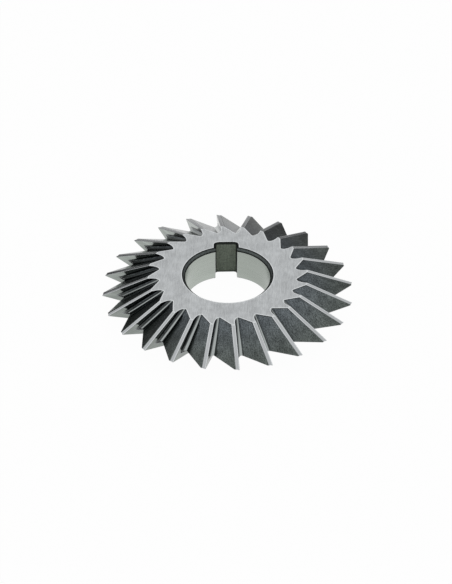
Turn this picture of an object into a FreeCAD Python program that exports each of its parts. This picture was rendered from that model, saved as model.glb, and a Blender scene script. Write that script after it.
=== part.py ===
"""Double equal-angle milling cutter: a hardened disc whose rim tapers to a V, with a row of teeth all round.

The frame has its origin at the middle of the lower hub face, +Z along the bore and the keyway towards +Y.
The teeth cut counter-clockwise when seen from +Z. The cutter is its own mirror image about its middle plane.
"""
import FreeCAD, Part
import math
import os

# Driving dimensions, in millimetres and degrees
outside_diameter = 80.0        # over the cutting tips
width = 12.0                   # between the two hub faces
included_angle = 45.0          # between the cutting edges of the two flanks
bore_diameter = 27.0
bore_chamfer = 0.8             # at both mouths of the bore

keyway_width = 7.0
keyway_across = 30.0           # from the keyway's floor to the far side of the bore
keyway_corner_radius = 1.0
keyway_chamfer = 0.35          # round the keyway's outline on both hub faces

tooth_count = 24
first_tooth_angle = 3.5        # from the keyway's middle, counter-clockwise, to the nearest rake face
land_width = 1.2               # ground strip behind each cutting edge
land_relief = 5.0              # slope of that strip below the flank of the V
gullet_run_in = 4.6            # how far a gullet's sharp root reaches in over the hub face
gullet_root_radius = 1.2

# Allowances of the blank and of the cuts
rim_allowance = 0.5            # left on the turned rim and taken off by the gullets and lands
overrun = 2.0                  # how far a cut runs past the surface that it leaves

# Sizes worked out from the driving dimensions
tip_radius = outside_diameter / 2
half_width = width / 2
flank_angle = math.radians(included_angle / 2)
hub_radius = tip_radius - half_width / math.tan(flank_angle)
bore_radius = bore_diameter / 2
keyway_floor = keyway_across - bore_radius
root_radius_at_hub = hub_radius - gullet_run_in
pitch = 360.0 / tooth_count

Vector = FreeCAD.Vector
axis_x = Vector(1, 0, 0)
axis_y = Vector(0, 1, 0)
axis_z = Vector(0, 0, 1)
centre = Vector(0, 0, 0)


def turned(vector, degrees):
    """The vector turned counter-clockwise about the bore's axis."""
    return FreeCAD.Rotation(axis_z, degrees).multVec(vector)


def extrusion(edges, travel):
    """A solid swept from a closed flat outline along a straight travel."""
    return Part.Face(Part.Wire(edges)).extrude(travel)


def polygon(points):
    """The edges of a closed outline through the points."""
    return [Part.LineSegment(a, b).toShape() for a, b in zip(points, points[1:] + points[:1])]


def turned_blank():
    """The disc as turned: bored, chamfered, with its rim a V that still carries the allowance."""
    mouth = bore_radius + bore_chamfer
    corner = hub_radius + rim_allowance
    bore_end = half_width - bore_chamfer
    profile = polygon([
        Vector(bore_radius, 0, -bore_end),
        Vector(bore_radius, 0, bore_end),
        Vector(mouth, 0, half_width),
        Vector(corner, 0, half_width),
        Vector(tip_radius + rim_allowance, 0, 0),
        Vector(corner, 0, -half_width),
        Vector(mouth, 0, -half_width),
    ])
    return Part.Face(Part.Wire(profile)).revolve(centre, axis_z, 360)


def cutting_edge():
    """Tip, direction from the tip to the hub, and outward flank normal of the upper edge of a tooth along +X."""
    tip = Vector(tip_radius, 0, 0)
    along = Vector(-math.cos(flank_angle), 0, math.sin(flank_angle))
    outward = Vector(math.sin(flank_angle), 0, math.cos(flank_angle))
    return tip, along, outward


def land_directions():
    """Across the upper land, clockwise from its cutting edge, and the land's outward normal."""
    outward = cutting_edge()[2]
    relief = math.radians(land_relief)
    across = -axis_y * math.cos(relief) - outward * math.sin(relief)
    normal = outward * math.cos(relief) - axis_y * math.sin(relief)
    return across, normal


def gullet_planes():
    """Frame of the upper gullet in front of the tooth along +X.

    One side is the rake face, in the plane y = 0. The other is the back of the next tooth, in the plane through
    that tooth's heel and the point where the sharp root leaves the hub face. Returned are that point, the
    direction of the root outwards and down, and the two directions square to it that climb the sides.
    """
    tip, along, outward = cutting_edge()
    across = land_directions()[0]
    heel = turned(tip + across * land_width, pitch)
    heel_line = turned(along, pitch)
    root_point = Vector(root_radius_at_hub, 0, half_width)
    back_normal = heel_line.cross(heel - root_point).normalize()
    root_line = back_normal.cross(axis_y).normalize()
    if root_line.z > 0:
        root_line = -root_line
    up_rake = axis_y.cross(root_line).normalize()
    up_rake = up_rake if up_rake.z > 0 else -up_rake
    up_back = back_normal.cross(root_line).normalize()
    up_back = up_back if up_back.y > 0 else -up_back
    return root_point, root_line, up_rake, up_back


def gullet_cut():
    """The groove milled from above in front of the tooth along +X, with a rounded root."""
    root_point, root_line, up_rake, up_back = gullet_planes()
    half_angle = up_rake.getAngle(up_back) / 2
    middle = (up_rake + up_back).normalize()
    reach = tip_radius / 2
    start = root_point - root_line * reach
    rake_end = start + up_rake * (gullet_root_radius / math.tan(half_angle))
    back_end = start + up_back * (gullet_root_radius / math.tan(half_angle))
    root_bottom = start + middle * (gullet_root_radius / math.sin(half_angle) - gullet_root_radius)
    outline = [
        Part.Arc(rake_end, root_bottom, back_end).toShape(),
        Part.LineSegment(back_end, start + up_back * reach).toShape(),
        Part.LineSegment(start + up_back * reach, start + up_rake * reach).toShape(),
        Part.LineSegment(start + up_rake * reach, rake_end).toShape(),
    ]
    return extrusion(outline, root_line * (reach + tip_radius))


def land_cut():
    """The wedge ground off above the upper land of the tooth along +X."""
    tip, along, outward = cutting_edge()
    across, normal = land_directions()
    start = tip - along * (rim_allowance + overrun) / math.sin(flank_angle)
    front = start - across * overrun
    rear = start + across * (land_width + overrun)
    lift = normal * (rim_allowance + overrun)
    end = tip + along * (half_width + overrun) / math.sin(flank_angle)
    return extrusion(polygon([front, rear, rear + lift, front + lift]), end - start)


def tooth_cuts():
    """All that is taken off beside one tooth along +X: gullet and land from above, and the same from below."""
    upper = [gullet_cut(), land_cut()]
    return upper + [cut.mirror(centre, axis_z) for cut in upper]


def keyway_outline(growth, height):
    """The keyway's outline, open into the bore, grown sideways and at its floor by a given amount."""
    side = keyway_width / 2 + growth
    floor = keyway_floor + growth
    radius = keyway_corner_radius + growth
    diagonal = radius * (1 - math.sqrt(0.5))
    left = Part.Arc(Vector(-side, floor - radius, height), Vector(diagonal - side, floor - diagonal, height),
                    Vector(radius - side, floor, height))
    right = Part.Arc(Vector(side - radius, floor, height), Vector(side - diagonal, floor - diagonal, height),
                     Vector(side, floor - radius, height))
    points = [Vector(side, floor - radius, height), Vector(side, 0, height),
              Vector(-side, 0, height), Vector(-side, floor - radius, height)]
    sides = [Part.LineSegment(a, b).toShape() for a, b in zip(points, points[1:])]
    floor_edge = Part.LineSegment(Vector(radius - side, floor, height), Vector(side - radius, floor, height))
    return Part.Wire([left.toShape(), floor_edge.toShape(), right.toShape()] + sides)


def keyway_cuts():
    """The keyway through the whole width, and the chamfer round its outline on each hub face."""
    slot = Part.Face(keyway_outline(0, -half_width - overrun)).extrude(axis_z * (width + 2 * overrun))
    inner = keyway_outline(0, half_width - keyway_chamfer)
    outer = keyway_outline(overrun + keyway_chamfer, half_width + overrun)
    flare = Part.makeLoft([inner, outer], True, True)
    return [slot, flare, flare.mirror(centre, axis_z)]


def cutter_body():
    """The whole cutter, one solid."""
    body = turned_blank().cut(keyway_cuts())
    cuts = tooth_cuts()
    phase = 90 + first_tooth_angle
    for index in range(tooth_count):
        placed = [cut.copy() for cut in cuts]
        for cut in placed:
            cut.rotate(centre, axis_z, phase + index * pitch)
        body = body.cut(placed)
    body = body.removeSplitter()
    body.translate(axis_z * half_width)
    return body


os.makedirs("parts", exist_ok=True)
cutter_body().exportStep("parts/cutter_body.step")
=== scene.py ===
"""A double-angle milling cutter lying flat on a white table: ground bright on its faces and cutting edges,
dark from hardening everywhere else.

Lengths are in metres. The origin is the middle of the lower hub face, +Z runs along the bore and the keyway
points towards +Y. The teeth cut counter-clockwise when seen from above.
"""
import math

import bmesh
import bpy
from mathutils import Matrix, Vector


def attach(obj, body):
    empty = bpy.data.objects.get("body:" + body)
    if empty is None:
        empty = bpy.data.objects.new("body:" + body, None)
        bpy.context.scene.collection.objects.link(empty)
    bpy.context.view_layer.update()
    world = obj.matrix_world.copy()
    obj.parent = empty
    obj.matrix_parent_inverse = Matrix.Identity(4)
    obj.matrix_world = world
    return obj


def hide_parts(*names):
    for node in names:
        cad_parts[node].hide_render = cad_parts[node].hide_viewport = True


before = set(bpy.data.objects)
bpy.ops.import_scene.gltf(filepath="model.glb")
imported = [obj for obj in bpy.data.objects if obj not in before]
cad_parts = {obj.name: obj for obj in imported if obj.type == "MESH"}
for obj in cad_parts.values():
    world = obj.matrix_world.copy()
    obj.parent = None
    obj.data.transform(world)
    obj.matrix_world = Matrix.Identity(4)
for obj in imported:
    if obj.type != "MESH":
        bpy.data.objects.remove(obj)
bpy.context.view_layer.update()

mm = 0.001
deg = math.pi / 180

# Sizes of the cutter
outside_diameter = 80.0 * mm
width = 12.0 * mm
included_angle = 45.0 * deg
bore_diameter = 27.0 * mm
lower_bore_chamfer = 0.5 * mm
upper_bore_chamfer = 1.05 * mm
keyway_width = 7.0 * mm
keyway_across = 30.0 * mm
keyway_corner_radius = 1.0 * mm
lower_keyway_chamfer = 0.15 * mm
upper_keyway_chamfer = 0.55 * mm
tooth_count = 24
first_tooth_angle = 3.5 * deg
land_width = 1.2 * mm
land_relief = 5.0 * deg
gullet_run_in = 4.6 * mm
gullet_root_radius = 1.2 * mm

# How the cutter is made
rim_allowance = 0.5 * mm        # left on the blank, and taken off by the lands and gullets
overrun = 2.0 * mm              # how far a tool runs past the surface that it leaves
sides_per_tooth = 8             # flats of every turned surface to one pitch
root_steps = 10                 # flats round the root of a gullet
corner_steps = 9                # flats round a corner of the keyway
edge_break = 0.07 * mm          # the tiny flat that grinding leaves on every edge
edge_from = 15.0 * deg          # surfaces that meet at more than this share an edge
rim_breadth = 0.40 * mm         # how far the painted edge highlight of ground faces, and the darker rim of the backs, reach onto the surfaces beside it
flat_within = 0.3 * deg         # faces that meet at less than this are one flat face
weld_distance = 0.001 * mm      # points nearer than this are one point
shortest_edge = 0.05 * mm       # ends of shorter edges are merged before the edges are broken
same_way = 0.999                # cosine above which two directions count as one
square_on = 0.001               # cosine below which two directions count as square
steepest_black = 0.2            # the edges of the upper chamfers are black where their normals point up by
flattest_black = 0.93           # more than the first and less than the second

# Sizes worked out from those above
tip_radius = outside_diameter / 2
half_width = width / 2
flank_angle = included_angle / 2
hub_radius = tip_radius - half_width / math.tan(flank_angle)
bore_radius = bore_diameter / 2
mouth_radius = bore_radius + lower_bore_chamfer
keyway_floor = keyway_across - bore_radius
root_radius_at_hub = hub_radius - gullet_run_in
pitch = 2 * math.pi / tooth_count
sector_start = -pitch / sides_per_tooth / 2
teeth_turn = math.pi / 2 + first_tooth_angle

axis_y = Vector((0, 1, 0))
centre = Vector((0, 0, 0))
sort_from = Vector((47, -61, 19)) * mm      # beside the cutter, at another distance from every point of it


# Modelling helpers

def take(piece):
    """Makes the piece the only one selected, and the active one."""
    bpy.ops.object.select_all(action="DESELECT")
    piece.select_set(True)
    bpy.context.view_layer.objects.active = piece


def start_editing(piece):
    """Into edit mode, with nothing selected."""
    take(piece)
    bpy.ops.object.mode_set(mode="EDIT")
    bpy.ops.mesh.select_mode(type="FACE")
    bpy.ops.mesh.select_all(action="DESELECT")


def sort_parts():
    """Puts the points, edges and faces in the order of their distance from one place, so that the steps that
    go by this order give the same result each run."""
    cursor = bpy.context.scene.cursor
    cursor.location = sort_from
    bpy.ops.mesh.select_mode(type="VERT")
    bpy.ops.mesh.select_all(action="SELECT")
    bpy.ops.mesh.sort_elements(type="CURSOR_DISTANCE", elements={"VERT", "EDGE", "FACE"})
    cursor.location = centre


def stop_editing():
    """Back to object mode, with everything sorted and the normals outwards."""
    sort_parts()
    bpy.ops.mesh.normals_make_consistent(inside=False)
    bpy.ops.object.mode_set(mode="OBJECT")


def face_outwards(piece):
    """Turns the piece's normals outwards."""
    start_editing(piece)
    stop_editing()


def choose_faces(piece, wanted):
    """Selects just the faces for which wanted(middle, normal) is true."""
    bpy.ops.mesh.select_mode(type="FACE")
    bpy.ops.mesh.select_all(action="DESELECT")
    mesh = bmesh.from_edit_mesh(piece.data)
    mesh.normal_update()
    for face in mesh.faces:
        face.select_set(bool(wanted(face.calc_center_median(), face.normal)))
    bmesh.update_edit_mesh(piece.data)


def choose_point(piece, place):
    """Selects just the point at the place."""
    bpy.ops.mesh.select_mode(type="VERT")
    bpy.ops.mesh.select_all(action="DESELECT")
    mesh = bmesh.from_edit_mesh(piece.data)
    for point in mesh.verts:
        point.select_set((point.co - place).length < weld_distance)
    mesh.select_flush_mode()
    bmesh.update_edit_mesh(piece.data)


def extrude(move=(0, 0, 0), scale=None):
    """Extrudes what is selected by the move, then scales it about the bore's axis."""
    bpy.ops.mesh.extrude_region_move(TRANSFORM_OT_translate={"value": move})
    if scale is not None:
        bpy.ops.transform.resize(value=(scale, scale, 1), center_override=centre)


def settle(piece, matrix=None):
    """Puts the piece at the matrix and moves its place into its mesh."""
    take(piece)
    if matrix is not None:
        piece.matrix_world = matrix
    bpy.ops.object.transform_apply(location=True, rotation=True, scale=True)


def apply_modifiers(piece):
    take(piece)
    for modifier in list(piece.modifiers):
        bpy.ops.object.modifier_apply(modifier=modifier.name)


def cut(piece, tool):
    """Takes the tool's shape out of the piece."""
    modifier = piece.modifiers.new("cut", "BOOLEAN")
    modifier.operation = "DIFFERENCE"
    modifier.solver = "EXACT"
    modifier.object = tool
    apply_modifiers(piece)
    bpy.data.objects.remove(tool)


def mirror_down(piece):
    """Adds the piece's mirror image below the middle plane."""
    modifier = piece.modifiers.new("lower_half", "MIRROR")
    modifier.use_axis = (False, False, True)
    modifier.merge_threshold = weld_distance
    apply_modifiers(piece)


def join_flats(piece):
    """Merges faces that lie in one plane."""
    start_editing(piece)
    bpy.ops.mesh.select_all(action="SELECT")
    bpy.ops.mesh.dissolve_limited(angle_limit=flat_within)
    stop_editing()


# The cutter's shape, drawn about its middle plane with a rake face along +X

def turned_blank():
    """One pitch of the upper half of the turned disc: bored, chamfered, and tapered with the allowance on."""
    shoulder = hub_radius + rim_allowance
    rim = tip_radius + rim_allowance
    bpy.ops.mesh.primitive_cylinder_add(vertices=sides_per_tooth * tooth_count, radius=shoulder,
                                        depth=half_width, location=(0, 0, half_width / 2))
    blank = bpy.context.active_object
    settle(blank, Matrix.Rotation(sector_start, 4, "Z") @ blank.matrix_world)
    start_editing(blank)
    choose_faces(blank, lambda middle, normal: middle.z < weld_distance)
    bpy.ops.transform.resize(value=(rim / shoulder, rim / shoulder, 1), center_override=centre)
    extrude(scale=bore_radius / rim)
    bpy.ops.mesh.delete(type="ONLY_FACE")
    choose_faces(blank, lambda middle, normal: middle.z > half_width - weld_distance)
    extrude(scale=mouth_radius / shoulder)
    extrude((0, 0, -lower_bore_chamfer), bore_radius / mouth_radius)
    extrude((0, 0, lower_bore_chamfer - half_width))
    bpy.ops.mesh.delete(type="ONLY_FACE")
    bpy.ops.mesh.select_all(action="SELECT")
    bpy.ops.mesh.remove_doubles(threshold=weld_distance)
    for angle, side in ((sector_start, 1), (sector_start + pitch, -1)):
        away = Vector((math.sin(angle), -math.cos(angle), 0)) * side
        bpy.ops.mesh.select_all(action="SELECT")
        bpy.ops.mesh.bisect(plane_co=centre, plane_no=away, use_fill=True, clear_outer=True,
                            threshold=weld_distance)
    stop_editing()
    return blank


def cutting_edge():
    """Tip, direction from the tip to the hub, and outward flank normal of the upper cutting edge."""
    tip = Vector((tip_radius, 0, 0))
    along = Vector((-math.cos(flank_angle), 0, math.sin(flank_angle)))
    outward = Vector((math.sin(flank_angle), 0, math.cos(flank_angle)))
    return tip, along, outward


def land_directions():
    """Across the upper land, clockwise from its cutting edge, and the land's outward normal."""
    outward = cutting_edge()[2]
    across = -axis_y * math.cos(land_relief) - outward * math.sin(land_relief)
    normal = outward * math.cos(land_relief) - axis_y * math.sin(land_relief)
    return across, normal


def gullet_planes():
    """Sharp root point on the hub face, the root's direction outwards and down, and the two directions square
    to it that climb the rake face and the back of the next tooth."""
    tip, along = cutting_edge()[:2]
    across = land_directions()[0]
    turn = Matrix.Rotation(pitch, 3, "Z")
    heel = turn @ (tip + across * land_width)
    root_point = Vector((root_radius_at_hub, 0, half_width))
    back_normal = (turn @ along).cross(heel - root_point).normalized()
    root_line = axis_y.cross(back_normal).normalized()
    root_line *= -math.copysign(1, root_line.z)
    up_rake = axis_y.cross(root_line)
    up_rake *= math.copysign(1, up_rake.z)
    up_back = back_normal.cross(root_line)
    up_back *= math.copysign(1, up_back.y)
    return root_point, root_line, up_rake, up_back


def gullet_tool():
    """The form of the cutter that mills one gullet: two flat sides and a round nose."""
    root_point, root_line, up_rake, up_back = gullet_planes()
    opening = up_rake.angle(up_back)
    reach = tip_radius / 2
    sharp = root_point - root_line * reach
    side = gullet_root_radius / math.tan(opening / 2)
    nose = sharp + (up_rake + up_back).normalized() * gullet_root_radius / math.sin(opening / 2)
    rake_end = sharp + up_rake * side
    back_end = sharp + up_back * side
    outline = bpy.data.meshes.new("gullet_tool")
    outline.from_pydata([sharp + up_rake * reach, rake_end], [(0, 1)], [])
    tool = bpy.data.objects.new("gullet_tool", outline)
    bpy.context.collection.objects.link(tool)
    start_editing(tool)
    choose_point(tool, rake_end)
    turning = (back_end - nose).cross(rake_end - nose).normalized()
    bpy.ops.mesh.spin(steps=root_steps, angle=math.pi - opening, center=nose, axis=turning)
    choose_point(tool, back_end)
    extrude(up_back * (reach - side))
    bpy.ops.mesh.select_all(action="SELECT")
    bpy.ops.mesh.edge_face_add()
    extrude(root_line * (reach + tip_radius))
    stop_editing()
    return tool


def land_tool(turn):
    """The block that a grinding wheel takes off above one upper land."""
    tip, along = cutting_edge()[:2]
    across, normal = land_directions()
    length = (half_width + rim_allowance + 2 * overrun) / math.sin(flank_angle)
    breadth = land_width + 2 * overrun
    lift = rim_allowance + overrun
    start = tip - along * (rim_allowance + overrun) / math.sin(flank_angle)
    middle = start + along * length / 2 + across * land_width / 2 + normal * lift / 2
    axes = Matrix((along * length, across * breadth, normal * lift)).transposed().to_4x4()
    bpy.ops.mesh.primitive_cube_add(size=1)
    tool = bpy.context.active_object
    settle(tool, Matrix.Rotation(turn, 4, "Z") @ Matrix.Translation(middle) @ axes)
    face_outwards(tool)
    return tool


def on_sector_end(middle, normal):
    """True for a face in one of the two planes where neighbouring sectors meet, or in the middle plane."""
    angle = math.atan2(middle.y, middle.x)
    from_start = min(abs(angle - sector_start), abs(angle - sector_start - pitch))
    upright = abs(normal.z) < flat_within and abs(normal.xy.dot(middle.xy.normalized())) < flat_within
    return (upright and from_start * middle.length < weld_distance) or middle.z < weld_distance


def mouth_tool():
    """Cone that widens the chamfer at the bore's upper mouth."""
    lead_in = overrun / 4
    depth = upper_bore_chamfer + lead_in + overrun
    bpy.ops.mesh.primitive_cone_add(vertices=sides_per_tooth * tooth_count, radius1=bore_radius - lead_in,
                                    radius2=bore_radius - lead_in + depth, depth=depth,
                                    location=(0, 0, half_width + overrun - depth / 2))
    tool = bpy.context.active_object
    settle(tool, Matrix.Rotation(sector_start, 4, "Z") @ tool.matrix_world)
    return tool


def toothed_ring():
    """The disc with all its gullets and lands, made as half of one pitch, mirrored and then repeated."""
    ring = turned_blank()
    cut(ring, gullet_tool())
    for turn in (0, pitch):
        cut(ring, land_tool(turn))
    start_editing(ring)
    choose_faces(ring, on_sector_end)
    bpy.ops.mesh.delete(type="FACE")
    stop_editing()
    mirror_down(ring)
    step = bpy.data.objects.new("step", None)
    bpy.context.collection.objects.link(step)
    step.rotation_euler.z = pitch
    bpy.context.view_layer.update()
    teeth = ring.modifiers.new("teeth", "ARRAY")
    teeth.count = tooth_count
    teeth.use_relative_offset = False
    teeth.use_object_offset = True
    teeth.offset_object = step
    teeth.use_merge_vertices = teeth.use_merge_vertices_cap = True
    teeth.merge_threshold = weld_distance
    apply_modifiers(ring)
    bpy.data.objects.remove(step)
    cut(ring, mouth_tool())
    join_flats(ring)
    return ring


def keyway_tool(chamfer, side):
    """One half of the keyway with the flare at its mouth, as a solid above or below the middle plane."""
    flare = chamfer + overrun
    breadth = keyway_width + 2 * flare
    far = keyway_floor + flare
    near = -flare
    block_middle = half_width + 1.5 * overrun       # its underside is one overrun above the hub face
    bpy.ops.mesh.primitive_cube_add(size=1, location=(0, (far + near) / 2, block_middle),
                                    scale=(breadth, far - near, overrun))
    tool = bpy.context.active_object
    settle(tool)
    start_editing(tool)
    bpy.ops.mesh.select_mode(type="EDGE")
    mesh = bmesh.from_edit_mesh(tool.data)
    for edge in mesh.edges:
        upright = abs(edge.verts[0].co.z - edge.verts[1].co.z) > overrun / 2
        edge.select_set(upright and edge.verts[0].co.y > 0)
    bmesh.update_edit_mesh(tool.data)
    bpy.ops.mesh.bevel(offset=keyway_corner_radius + flare, segments=corner_steps)
    choose_faces(tool, lambda middle, normal: normal.z < -same_way)
    bpy.ops.mesh.inset(thickness=flare, depth=flare)
    extrude((0, 0, chamfer - half_width))
    stop_editing()
    settle(tool, Matrix.Scale(side, 4, (0, 0, 1)))
    face_outwards(tool)
    return tool


# The finish of each surface

def in_tooth(direction, angle):
    """The direction as a tooth sees it whose rake face points along the angle."""
    return Matrix.Rotation(-angle, 3, "Z") @ direction


def zone_of(middle, normal):
    """Name of the finish on a face of the cutter, from its middle and its normal."""
    radius = middle.xy.length
    outward = normal.xy.dot(middle.xy.normalized())
    if abs(normal.z) > same_way:
        return "ground_hub"
    if radius < keyway_floor + upper_keyway_chamfer + weld_distance:
        if abs(normal.z) < square_on and outward < -same_way and radius < bore_radius + weld_distance:
            return "honed_bore"
        return "black_keyway"
    angle = math.atan2(middle.y, middle.x) - teeth_turn
    for tooth in (math.floor(angle / pitch), math.floor(angle / pitch) + 1):
        seen = in_tooth(normal, teeth_turn + tooth * pitch)
        if seen.y > same_way:
            return "ground_rake"
        seen.z = abs(seen.z)
        if seen.dot(land_directions()[1]) > same_way:
            return "ground_land"
    return "hardened_back"


# Node helpers

usual_low, usual_high = 0.3, 0.7        # most values of a random pattern lie between these
# Sockets of a node that mixes two colours
mix_share, mix_first, mix_second, mix_result = 0, 6, 7, 2


def add(tree, kind, inputs=None, **settings):
    """Adds a node of the kind; an input is a value or the output of another node."""
    made = tree.nodes.new(kind)
    for name, value in settings.items():
        setattr(made, name, value)
    for name, value in (inputs or {}).items():
        socket = made.inputs[name]
        if isinstance(value, bpy.types.NodeSocket):
            tree.links.new(value, socket)
        elif socket.type == "VECTOR":
            socket.default_value = value[:3]
        else:
            socket.default_value = value
    return made


def calc(tree, operation, *values):
    """Result of an operation on numbers or outputs."""
    return add(tree, "ShaderNodeMath", dict(enumerate(values)), operation=operation).outputs[0]


def total(tree, result, *others):
    """Sum of numbers or outputs."""
    for other in others:
        result = calc(tree, "ADD", result, other)
    return result


def product(tree, result, *others):
    """Product of numbers or outputs."""
    for other in others:
        result = calc(tree, "MULTIPLY", result, other)
    return result


def largest(tree, result, *others):
    """Largest of numbers or outputs."""
    for other in others:
        result = calc(tree, "MAXIMUM", result, other)
    return result


def minus(tree, first, second):
    """The first number or output less the second."""
    return calc(tree, "SUBTRACT", first, second)


def span(tree, value, low, high, to_low=0.0, to_high=1.0, smooth=True):
    """The value, with low to high brought to to_low to to_high."""
    inputs = {"Value": value, "From Min": low, "From Max": high, "To Min": to_low, "To Max": to_high}
    kind = "SMOOTHSTEP" if smooth else "LINEAR"
    return add(tree, "ShaderNodeMapRange", inputs, interpolation_type=kind).outputs["Result"]


def spread(tree, pattern, to_low, to_high):
    """A random pattern, with its usual values brought to to_low to to_high."""
    return span(tree, pattern, usual_low, usual_high, to_low, to_high)


def blend(tree, share, first, second):
    """Colour between the first and the second."""
    inputs = {mix_share: share, mix_first: first, mix_second: second}
    return add(tree, "ShaderNodeMix", inputs, data_type="RGBA").outputs[mix_result]


def shaded(tree, colour, amount):
    """The colour, made lighter or darker by an amount whose middle value is one."""
    inputs = {"Vector": colour, "Scale": amount}
    return add(tree, "ShaderNodeVectorMath", inputs, operation="SCALE").outputs["Vector"]


def vector(tree, x, y, z):
    return add(tree, "ShaderNodeCombineXYZ", {"X": x, "Y": y, "Z": z}).outputs[0]


def noise(tree, place, detail, rough, scale=1.0):
    """Smooth random value from nought to one at the place. The scale is the number of bumps to one unit."""
    inputs = {"Vector": place, "Scale": scale, "Detail": detail, "Roughness": rough}
    return add(tree, "ShaderNodeTexNoise", inputs).outputs["Fac"]


def streaks(tree, along, across, other, length, breadth, detail=3.0):
    """Random lines of a length and a breadth in metres, different ones for each value of other."""
    place = vector(tree, calc(tree, "DIVIDE", along, length), calc(tree, "DIVIDE", across, breadth), other)
    return noise(tree, place, detail, rough=0.6)


def position(tree):
    """X, Y and Z of a point of the cutter."""
    place = add(tree, "ShaderNodeTexCoord").outputs["Object"]
    return add(tree, "ShaderNodeSeparateXYZ", {0: place}).outputs[:]


def round_bore(tree):
    """Radius of a point, its angle about the bore, and its height above the table."""
    x, y, z = position(tree)
    radius = calc(tree, "SQRT", total(tree, product(tree, x, x), product(tree, y, y)))
    return radius, calc(tree, "ARCTAN2", y, x), z


def beside_tooth(tree, lead):
    """A point's place along and across the tooth behind it, the tooth's number, and the distance from the
    middle plane. A tooth's own angle runs from -lead to the pitch less lead."""
    radius, angle, z = round_bore(tree)
    turned = minus(tree, angle, teeth_turn - lead)
    number = calc(tree, "FLOOR", calc(tree, "DIVIDE", turned, pitch))
    own = minus(tree, minus(tree, turned, product(tree, number, pitch)), lead)
    along = product(tree, radius, calc(tree, "COSINE", own))
    across = product(tree, radius, calc(tree, "SINE", own))
    height = calc(tree, "ABSOLUTE", minus(tree, z, half_width))
    return along, across, number, height


def near_edge(tree):
    """One at an edge, falling to nought beside it."""
    return add(tree, "ShaderNodeAttribute", attribute_type="GEOMETRY", attribute_name="rim").outputs["Fac"]


def painted_edge_highlight(tree, most):
    """How much lighter a ground face is painted towards its edges, as a painted highlight."""
    return span(tree, near_edge(tree), 0.2, 0.75, 0.0, most)


def start_material(name):
    material = bpy.data.materials.new(name)
    material.use_nodes = True
    tree = material.node_tree
    tree.nodes.clear()
    return material, tree


def close_material(tree, colour, roughness, relief, depth=0.002 * mm, metal=1.0, gloss=0.5):
    """Ends a material in one Principled shader, with a bump of the relief's height times the depth."""
    bump = add(tree, "ShaderNodeBump", {"Height": relief, "Distance": depth, "Strength": 1.0})
    shader = add(tree, "ShaderNodeBsdfPrincipled",
                 {"Base Color": colour, "Metallic": metal, "Roughness": roughness,
                  "Specular IOR Level": gloss, "Normal": bump.outputs["Normal"]})
    add(tree, "ShaderNodeOutputMaterial", {"Surface": shader.outputs["BSDF"]})


# Finishes

bright_steel = (0.415, 0.430, 0.438, 1)
# the rake faces and the bore wall are tinted warm green, a painted reflection of a warm table
rake_steel_painted_table_tint = (0.380, 0.412, 0.388, 1)
bore_steel_painted_table_tint = (0.425, 0.462, 0.425, 1)
grey_steel = (0.330, 0.355, 0.350, 1)
# steel of the edges: worn bright, and lighter still as a painted highlight
worn_and_highlight_steel = (0.520, 0.535, 0.540, 1)
hard_blue = (0.094, 0.107, 0.116, 1)
hard_green = (0.088, 0.100, 0.094, 1)
ring_black = (0.040, 0.046, 0.045, 1)
# the keyway's walls and corners: its black, darkened further by painted shade
keyway_black_and_shade = (0.009, 0.011, 0.011, 1)
olive = (0.395, 0.455, 0.370, 1)

# The bright strip that the rake wheel left in a root, measured across the root from the rake face
back_lead = 1.3 * deg               # a root lies up to this angle behind its rake face
strip_breadth = 1.45 * mm           # at the middle plane
strip_breadth_at_hub = 1.05 * mm
strip_wander = 0.3 * mm             # how far its borders wander
line_breadth = 0.45 * mm            # dark line between the rake face and the strip
line_overlap = 0.10 * mm            # how far the strip reaches the other way where there is no dark line
line_grows = 1.0 * mm               # height in which the dark line gets its breadth
line_from_above = 0.2 * mm          # distance from the middle plane where the line starts in the upper half
line_from_below = 4.5 * mm          # and in the lower half
strip_shade_side = 155.0 * deg           # side of the cutter where the roots' bright strip is painted over with the back's dark finish, as painted shade
strip_shade_within = 12.0 * deg     # the strip is painted over most within this of that side
strip_whole_beyond = 36.0 * deg      # and left whole beyond this from that side
# share of the strip left where it is painted over most
least_strip_left = 0.12
border_blur = 0.04 * mm             # the strip's borders fade in twice this breadth
line_blur = 0.08 * mm               # the dark line starts to fade this far before its border
painted_root_shade_breadth = 0.9 * mm            # beyond the strip, the back is painted darker for this breadth, as shade in the root
# the back's brightness at the strip's border in that painted shade
painted_root_shade_least = 0.45
line_strength = 1.7                 # how much stronger the dark line's finish is than the back's


def ground_hub():
    """Surface-ground face: straight lines all one way, in faint bands, with short grain and soft clouds, and
    a painted highlight towards its edges.
    """
    material, tree = start_material("ground_hub")
    x, y, z = position(tree)
    lean = 4.5 * deg
    across = minus(tree, product(tree, x, math.cos(lean)), product(tree, y, math.sin(lean)))
    along = total(tree, product(tree, x, math.sin(lean)), product(tree, y, math.cos(lean)))
    fine = streaks(tree, along, across, z, length=18 * mm, breadth=0.12 * mm)
    bands = streaks(tree, along, across, z, length=60 * mm, breadth=1.6 * mm, detail=2.0)
    grain = streaks(tree, along, across, z, length=2.5 * mm, breadth=0.45 * mm, detail=2.0)
    clouds = noise(tree, vector(tree, x, y, z), detail=3.0, rough=0.6, scale=240.0)
    tone = total(tree, spread(tree, fine, -0.09, 0.09), spread(tree, bands, -0.05, 0.05),
                 spread(tree, clouds, 0.91, 1.07), spread(tree, grain, -0.09, 0.09), painted_edge_highlight(tree, 0.55))
    rough = total(tree, spread(tree, fine, -0.05, 0.05), spread(tree, bands, 0.25, 0.33))
    close_material(tree, shaded(tree, bright_steel, tone), rough, fine)
    return material


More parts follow.
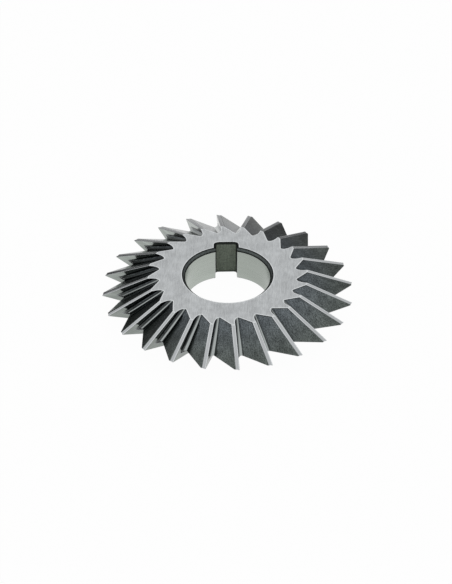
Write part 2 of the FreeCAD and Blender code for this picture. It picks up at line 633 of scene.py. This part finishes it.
def ground_land():
    """Relief-ground strip behind a cutting edge, with lines along the tooth and a painted highlight towards
    its edges.
    """
    material, tree = start_material("ground_land")
    along, across, number = beside_tooth(tree, pitch / 2)[:3]
    fine = streaks(tree, along, across, number, length=9 * mm, breadth=0.08 * mm)
    bands = streaks(tree, along, across, number, length=14 * mm, breadth=0.45 * mm, detail=1.0)
    tone = total(tree, spread(tree, fine, -0.05, 0.05), spread(tree, bands, 0.90, 1.02), painted_edge_highlight(tree, 0.50))
    rough = total(tree, spread(tree, fine, -0.05, 0.05), spread(tree, bands, 0.16, 0.24))
    close_material(tree, shaded(tree, bright_steel, tone), rough, fine)
    return material


def ground_rake():
    """Rake face, ground along the tooth, its steel tinted as a painted reflection of a warm table."""
    material, tree = start_material("ground_rake")
    radius, angle, z = round_bore(tree)
    number = calc(tree, "ROUND", calc(tree, "DIVIDE", minus(tree, angle, teeth_turn), pitch))
    fine = streaks(tree, radius, z, number, length=7 * mm, breadth=0.10 * mm)
    bands = streaks(tree, radius, z, number, length=10 * mm, breadth=0.5 * mm, detail=2.0)
    tone = total(tree, spread(tree, fine, -0.08, 0.08), spread(tree, bands, 0.86, 1.12))
    rough = total(tree, spread(tree, fine, -0.02, 0.02), spread(tree, bands, 0.12, 0.18))
    close_material(tree, shaded(tree, rake_steel_painted_table_tint, tone), rough, fine)
    return material


def honed_bore():
    """Bore wall with fine lines round it, its steel tinted as a painted reflection of a warm table, and
    painted a little darker towards +X as shade.
    """
    material, tree = start_material("honed_bore")
    x, y, z = position(tree)
    fine_length, band_length = 12 * mm, 20 * mm
    fine_row, band_row = calc(tree, "DIVIDE", y, fine_length), calc(tree, "DIVIDE", y, band_length)
    fine = streaks(tree, x, z, fine_row, length=fine_length, breadth=0.10 * mm)
    bands = streaks(tree, x, z, band_row, length=band_length, breadth=1.2 * mm, detail=2.0)
    tone = total(tree, spread(tree, fine, -0.05, 0.05), spread(tree, bands, 0.95, 1.05))
    # painted shade: the bore wall darker towards +X
    tone = product(tree, tone, span(tree, x, -7 * mm, 9 * mm, 1.03, 0.90))
    rough = total(tree, spread(tree, fine, -0.04, 0.04), spread(tree, bands, 0.24, 0.32))
    close_material(tree, shaded(tree, bore_steel_painted_table_tint, tone), rough, fine)
    return material


def root_strip(tree, across, height, bands):
    """How far the back's dark finish shows at a point, and its strength beside the root's bright strip, with
    painted shade over the strip on one side of the cutter and in the root beyond the strip.
    """
    ragged = product(tree, minus(tree, bands, 0.5), strip_wander)
    place = total(tree, across, ragged)
    border = span(tree, height, 0.0, half_width, strip_breadth, strip_breadth_at_hub, smooth=False)
    past = minus(tree, place, border)
    line_from = span(tree, position(tree)[2], half_width - 0.01 * mm, half_width + 0.01 * mm,
                     line_from_below, line_from_above)
    line = span(tree, minus(tree, height, line_from), 0.0, line_grows, -line_overlap, line_breadth,
                smooth=False)
    beside = minus(tree, place, line)
    dark = largest(tree, span(tree, past, -border_blur, border_blur),
                   span(tree, beside, -line_blur, border_blur, 1.0, 0.0))
    # painted shade: the strip fades out on one side of the cutter
    same_side = calc(tree, "COSINE", minus(tree, round_bore(tree)[1], strip_shade_side))
    strip_left = span(tree, same_side, math.cos(strip_whole_beyond), math.cos(strip_shade_within),
                   1.0, least_strip_left)
    dark = minus(tree, 1.0, product(tree, minus(tree, 1.0, dark), strip_left))
    # painted shade: the back darker just beyond the strip
    strength = largest(tree, span(tree, past, 0.0, painted_root_shade_breadth, painted_root_shade_least, 1.0),
                       span(tree, beside, -line_blur, border_blur, line_strength, 0.0))
    return dark, strength


def hardened_back():
    """Dark milled back of a tooth. The wheel that ground the rake face brightened a strip of the root too."""
    material, tree = start_material("hardened_back")
    along, across, number, height = beside_tooth(tree, back_lead)
    fine = streaks(tree, along, across, number, length=1.6 * mm, breadth=0.16 * mm)
    bands = streaks(tree, along, across, number, length=8 * mm, breadth=1.0 * mm, detail=2.0)
    clouds = noise(tree, vector(tree, along, across, number), detail=3.0, rough=0.6, scale=300.0)
    specks = noise(tree, vector(tree, along, across, number), detail=2.0, rough=0.7, scale=2600.0)
    dark, strength = root_strip(tree, across, height, bands)
    hard = blend(tree, span(tree, along, 22 * mm, 38 * mm), hard_blue, hard_green)
    pattern = total(tree, spread(tree, fine, -0.38, 0.38), spread(tree, bands, 0.9, 1.1),
                    spread(tree, specks, -0.45, 0.45))
    tone = product(tree, pattern, span(tree, clouds, 0.35, 0.7, 0.82, 1.18),
                   span(tree, near_edge(tree), 0.1, 0.8, 1.0, 0.12), strength)
    colour = blend(tree, dark, grey_steel, shaded(tree, hard, tone))
    rough = total(tree, spread(tree, fine, -0.04, 0.04), spread(tree, bands, 0.13, 0.21),
                  product(tree, minus(tree, 1.0, dark), -0.06))
    close_material(tree, colour, rough, fine, depth=0.003 * mm)
    return material


def black_keyway():
    """Keyway and chamfers, left as they came out of the fire: mottled olive black, with painted shade
    darkening the keyway's walls and corners, and the chamfer ring painted lighter on its far side.
    """
    material, tree = start_material("black_keyway")
    x, y, z = position(tree)
    radius = round_bore(tree)[0]
    mottle = noise(tree, vector(tree, x, y, z), detail=4.0, rough=0.7, scale=1700.0)
    lines = streaks(tree, z, x, 0.0, length=5 * mm, breadth=0.25 * mm)
    wall = keyway_width / 2
    lip = width - upper_keyway_chamfer
    mouth = bore_radius + upper_bore_chamfer
    floor = span(tree, radius, keyway_floor - 0.5 * mm, keyway_floor - 0.1 * mm)
    # painted shade: the keyway floor darkens towards its walls and ends
    off_wall = span(tree, calc(tree, "ABSOLUTE", x), wall - 0.6 * mm, wall - 0.15 * mm, 1.0, 0.12)
    off_ends = product(tree, span(tree, z, 0.4 * mm, 1.2 * mm, 0.4, 1.0),
                       span(tree, z, lip - 0.25 * mm, lip, 1.0, 0.06))
    ring = span(tree, radius, mouth - 0.05 * mm, mouth + 0.15 * mm, 1.0, 0.0)
    colour = blend(tree, product(tree, floor, off_wall, off_ends), blend(tree, ring, keyway_black_and_shade, ring_black), olive)
    # painted light: the chamfer ring lighter on its far side and darker in front
    ring_painted_light = span(tree, y, -6 * mm, 13 * mm, -0.45, 3.0)
    off_middle = calc(tree, "ABSOLUTE", minus(tree, radius, bore_radius + upper_bore_chamfer / 2))
    border = span(tree, off_middle, 0.12 * mm, 0.40 * mm, 0.0, 0.9)
    tone = product(tree, total(tree, spread(tree, mottle, 0.7, 1.3), spread(tree, lines, -0.12, 0.12)),
                   total(tree, 1.0, product(tree, ring, ring_painted_light)),
                   minus(tree, 1.0, product(tree, ring, border)))
    rough = spread(tree, mottle, 0.38, 0.52)
    close_material(tree, shaded(tree, colour, tone), rough, mottle, depth=0.004 * mm, metal=0.0, gloss=0.12)
    return material


def worn_and_highlight_edge():
    """Edge worn bright, and painted lighter still as a highlight."""
    material, tree = start_material("worn_and_highlight_edge")
    specks = noise(tree, vector(tree, *position(tree)), detail=3.0, rough=0.6, scale=2500.0)
    tone = spread(tree, specks, 0.85, 1.15)
    rough = spread(tree, specks, 0.22, 0.36)
    close_material(tree, shaded(tree, worn_and_highlight_steel, tone), rough, specks, depth=0.001 * mm)
    return material


# The finished piece

def mark_rims(piece, edge_index):
    """Stores how near an edge each point is, for the painted edge highlights of the ground faces and the
    darker edges of the backs: one at an edge, nought away from it.
    """
    rim = piece.data.attributes.new("rim", "FLOAT", "POINT")
    for face in piece.data.polygons:
        if face.material_index == edge_index and abs(face.center.z - half_width) > rim_breadth:
            for point in face.vertices:
                rim.data[point].value = 1.0


def blacken_mouth(piece, edge_index, black_index):
    """Gives the edges of the upper chamfers the keyway's black, apart from the flat beside the hub face."""
    for face in piece.data.polygons:
        inside = face.center.xy.length < keyway_floor + upper_keyway_chamfer and face.center.z > half_width
        sloping = steepest_black < face.normal.z < flattest_black
        if face.material_index == edge_index and inside and sloping:
            face.material_index = black_index


def give_finishes(piece, names):
    """Gives every face its finish, with a rim of its own on the faces that are painted lighter or darker
    towards an edge.
    """
    start_editing(piece)
    bpy.ops.mesh.select_all(action="SELECT")
    bpy.ops.mesh.remove_doubles(threshold=shortest_edge)
    for index, name in enumerate(names[:-1]):
        choose_faces(piece, lambda middle, normal: zone_of(middle, normal) == name)
        piece.active_material_index = index
        bpy.ops.object.material_slot_assign()
    for rimmed in ("ground_hub", "ground_land", "hardened_back"):
        choose_faces(piece, lambda middle, normal: zone_of(middle, normal) == rimmed)
        bpy.ops.mesh.inset(thickness=rim_breadth)
    stop_editing()


def break_edges(piece, edge_index):
    """Breaks every edge and keeps the broad faces looking flat."""
    take(piece)
    bpy.ops.object.shade_smooth()
    edges = piece.modifiers.new("broken_edges", "BEVEL")
    edges.width = edge_break
    edges.segments = 2
    edges.use_clamp_overlap = False
    edges.limit_method = "ANGLE"
    edges.angle_limit = edge_from
    edges.material = edge_index
    even = piece.modifiers.new("flat_faces", "WEIGHTED_NORMAL")
    even.weight = 100
    apply_modifiers(piece)


def dressed_cutter():
    """The cutter in its place, with a finish on every face and every edge broken."""
    piece = toothed_ring()
    piece.name = piece.data.name = "dressed_cutter"
    settle(piece, Matrix.Rotation(teeth_turn, 4, "Z"))
    cut(piece, keyway_tool(upper_keyway_chamfer, 1))
    cut(piece, keyway_tool(lower_keyway_chamfer, -1))
    join_flats(piece)
    finishes = [ground_hub(), ground_land(), ground_rake(), honed_bore(), hardened_back(), black_keyway(),
                worn_and_highlight_edge()]
    for material in finishes:
        piece.data.materials.append(material)
    names = [material.name for material in finishes]
    edge_index = names.index("worn_and_highlight_edge")
    give_finishes(piece, names)
    settle(piece, Matrix.Translation((0, 0, half_width)))
    break_edges(piece, edge_index)
    mark_rims(piece, edge_index)
    blacken_mouth(piece, edge_index, names.index("black_keyway"))
    return piece


# Table, light and camera

def white_table():
    """White surface under the cutter. Plain white to the camera, and shaded near the teeth in the metal."""
    below_hub, below_teeth, beside, far_off = 0.45, 0.74, 0.94, 0.36    # how bright the metal sees the table
    bpy.ops.mesh.primitive_plane_add(size=4.0)
    table = bpy.context.active_object
    table.name = "table"
    material, tree = start_material("white_table")
    rays = add(tree, "ShaderNodeLightPath").outputs
    seen = largest(tree, rays["Is Camera Ray"], rays["Is Glossy Ray"], rays["Is Transmission Ray"])
    matt = add(tree, "ShaderNodeBsdfDiffuse", {"Color": (0.85, 0.85, 0.85, 1)})
    radius = round_bore(tree)[0]
    under = largest(tree, span(tree, radius, 14 * mm, 18 * mm, 1.0, below_hub),
                    span(tree, radius, 19 * mm, 26 * mm, below_hub, below_teeth),
                    span(tree, radius, 36 * mm, 44 * mm, below_teeth, 1.0))
    pool = product(tree, under, span(tree, radius, 52 * mm, 108 * mm, beside, far_off))
    pool = largest(tree, pool, rays["Is Camera Ray"])
    white = add(tree, "ShaderNodeEmission", {"Color": (1, 1, 1, 1), "Strength": pool})
    mixed = add(tree, "ShaderNodeMixShader", {0: product(tree, seen, 0.975), 1: matt.outputs[0],
                                              2: white.outputs[0]})
    add(tree, "ShaderNodeOutputMaterial", {"Surface": mixed.outputs[0]})
    table.data.materials.append(material)


def studio_light():
    """Even white light from above that falls off towards the horizon, most of all behind on the left, with
    a low glow in front."""
    ceiling, shade_right, shade_left = 1.08, -0.45, -0.24
    horizon_left, horizon_right, horizon_far_left = 0.08, 0.21, 0.28
    front_floor, front_glow = 0.12, 0.20
    world = bpy.data.worlds.new("studio")
    bpy.context.scene.world = world
    world.use_nodes = True
    tree = world.node_tree
    tree.nodes.clear()
    direction = add(tree, "ShaderNodeTexCoord").outputs["Generated"]
    x, y, z = add(tree, "ShaderNodeSeparateXYZ", {0: direction}).outputs[:]
    glow = product(tree, span(tree, z, 0.08, 0.26), span(tree, z, 0.46, 0.64, front_glow, 0.0))
    front = product(tree, span(tree, y, -0.60, -0.10, 1.0, 0.0), total(tree, glow, front_floor))
    low = largest(tree, span(tree, x, -0.45, 0.35, horizon_left, horizon_right),
                  span(tree, x, -0.64, -0.44, horizon_far_left, 0.0), front)
    tilt = total(tree, z, product(tree, x, 0.1), product(tree, y, 0.35),
                 product(tree, calc(tree, "MINIMUM", y, 0.0), 0.60))
    share = span(tree, tilt, 0.47, 0.70)
    sides = total(tree, span(tree, x, 0.52, 0.74, 0.0, shade_right),
                  span(tree, x, -0.80, -0.60, shade_left, 0.0))
    strength = total(tree, product(tree, share, total(tree, ceiling, sides)),
                     product(tree, minus(tree, 1.0, share), low))
    light = add(tree, "ShaderNodeBackground", {"Color": (1, 1, 1, 1), "Strength": strength})
    add(tree, "ShaderNodeOutputWorld", {"Surface": light.outputs[0]})


def camera():
    """Camera of the photograph."""
    distance = 689.6 * mm
    azimuth = -2.0 * deg
    elevation = 38.36 * deg
    roll = 0.239 * deg
    made = bpy.data.cameras.new("camera")
    made.sensor_width = 36.0
    made.lens = 133.15
    made.shift_x = -0.0028
    made.shift_y = -0.0052
    made.clip_start = 0.01
    made.clip_end = 20.0
    eye = bpy.data.objects.new("camera", made)
    bpy.context.collection.objects.link(eye)
    back = Vector((math.sin(azimuth) * math.cos(elevation), -math.cos(azimuth) * math.cos(elevation),
                   math.sin(elevation)))
    turn = (-back).to_track_quat("-Z", "Y").to_matrix().to_4x4() @ Matrix.Rotation(roll, 4, "Z")
    eye.matrix_world = Matrix.Translation(Vector((0, 0, half_width)) + back * distance) @ turn
    bpy.context.scene.camera = eye


camera()
studio_light()
white_table()
cutter = dressed_cutter()
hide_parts("cutter_body")
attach(cutter, "root")
bpy.context.scene.view_settings.view_transform = "Standard"
